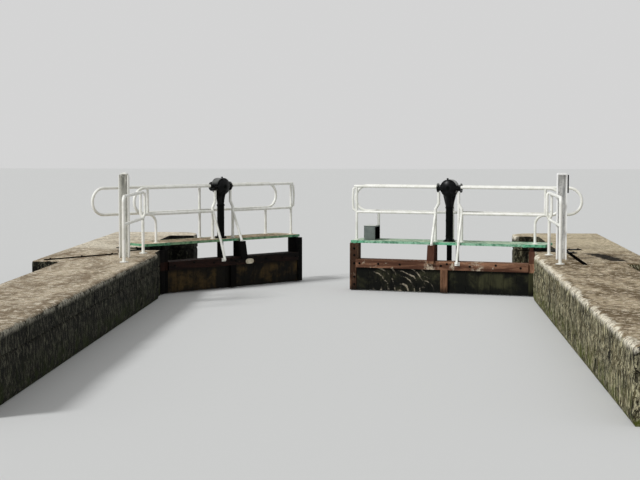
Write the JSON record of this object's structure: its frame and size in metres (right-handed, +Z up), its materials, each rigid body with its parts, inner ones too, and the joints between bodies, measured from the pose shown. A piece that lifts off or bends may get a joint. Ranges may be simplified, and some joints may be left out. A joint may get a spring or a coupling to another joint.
{
  "type": "mitre lock gate with paddle gear",
  "caption": "Pair of timber mitre lock gates with railed grating decks and hand-worked paddle gear, hung in stone lock walls, each leaf swinging into its recess.",
  "frame": {"origin": "middle of the whole footprint at the water level, on the lock's centre line", "axes": "+X across the lock to the right, +Y upstream, +Z up"},
  "size_m": [8.1, 13.35, 1.79],
  "materials": {
    "masonry": "rough, damp and weathered",
    "coping": "worn and lichened",
    "white_tube": "white paint on steel tube",
    "galvanised": "galvanised and weathered",
    "ironwork": "black paint",
    "timber": "weathered and wet oak",
    "green_paint": "worn green paint",
    "plate": "bare oval plate",
    "grey_box": "satin grey",
    "shaft_steel": "bare steel, oiled"
  },
  "bodies": {
    "lock_walls": {"left_chamber_wall": "masonry", "left_head_wall": "masonry", "left_chamber_coping": "coping", "left_head_coping": "coping", "left_guard_rail": "white_tube", "left_tall_post": "galvanised", "left_collar": "ironwork", "right_chamber_wall": "masonry", "right_head_wall": "masonry", "right_chamber_coping": "coping", "right_head_coping": "coping", "right_guard_rail": "white_tube", "right_tall_post": "galvanised", "right_collar": "ironwork"},
    "left_leaf": {"left_heel_post": "timber", "left_mitre_post": "timber", "left_top_rail": "timber", "left_planking": "timber", "left_uprights": "timber", "left_deck_frame": "green_paint", "left_deck_grating": "green_paint", "left_front_rail_land": "white_tube", "left_front_rail_free": "white_tube", "left_back_rail": "white_tube", "left_gear_column": "ironwork", "left_gear_case": "ironwork", "left_plate": "plate"},
    "left_rod": {"left_paddle_rod": "ironwork"},
    "left_shaft": {"left_winding_shaft": "shaft_steel"},
    "right_leaf": {"right_heel_post": "timber", "right_mitre_post": "timber", "right_top_rail": "timber", "right_planking": "timber", "right_uprights": "timber", "right_deck_frame": "green_paint", "right_deck_grating": "green_paint", "right_front_rail_land": "white_tube", "right_front_rail_free": "white_tube", "right_back_rail": "white_tube", "right_gear_column": "ironwork", "right_gear_case": "ironwork", "right_control_box": "grey_box"},
    "right_rod": {"right_paddle_rod": "ironwork"},
    "right_shaft": {"right_winding_shaft": "shaft_steel"}
  },
  "joints": [
    {"name": "left_gate", "type": "hinge", "parent": "lock_walls", "child": "left_leaf", "pos_m": [-2.76, 2.87499, 0], "axis": [0, 0, 1], "range_deg": [-32, 42.5]},
    {"name": "right_gate", "type": "hinge", "parent": "lock_walls", "child": "right_leaf", "pos_m": [2.76, 2.87499, 0], "axis": [0, 0, -1], "range_deg": [-1.5, 73]},
    {"name": "left_paddle", "type": "slide", "parent": "left_leaf", "child": "left_rod", "axis": [0, 0, 1], "range_m": [0, 0.28]},
    {"name": "left_winding", "type": "hinge", "parent": "left_leaf", "child": "left_shaft", "pos_m": [-1.9408, 4.00286, 1.52], "axis": [0.6756, 0.7373, 0], "range_deg": [0, 401.6]},
    {"name": "right_paddle", "type": "slide", "parent": "right_leaf", "child": "right_rod", "axis": [0, 0, 1], "range_m": [0, 0.28]},
    {"name": "right_winding", "type": "hinge", "parent": "right_leaf", "child": "right_shaft", "pos_m": [1.48171, 3.43102, 1.52], "axis": [-0.9563, 0.2924, 0], "range_deg": [0, 401.6]}
  ],
  "couplings": [
    {"joint": "left_winding", "follows": "left_paddle", "rad_per_m": 25},
    {"joint": "right_winding", "follows": "right_paddle", "rad_per_m": 25}
  ]
}
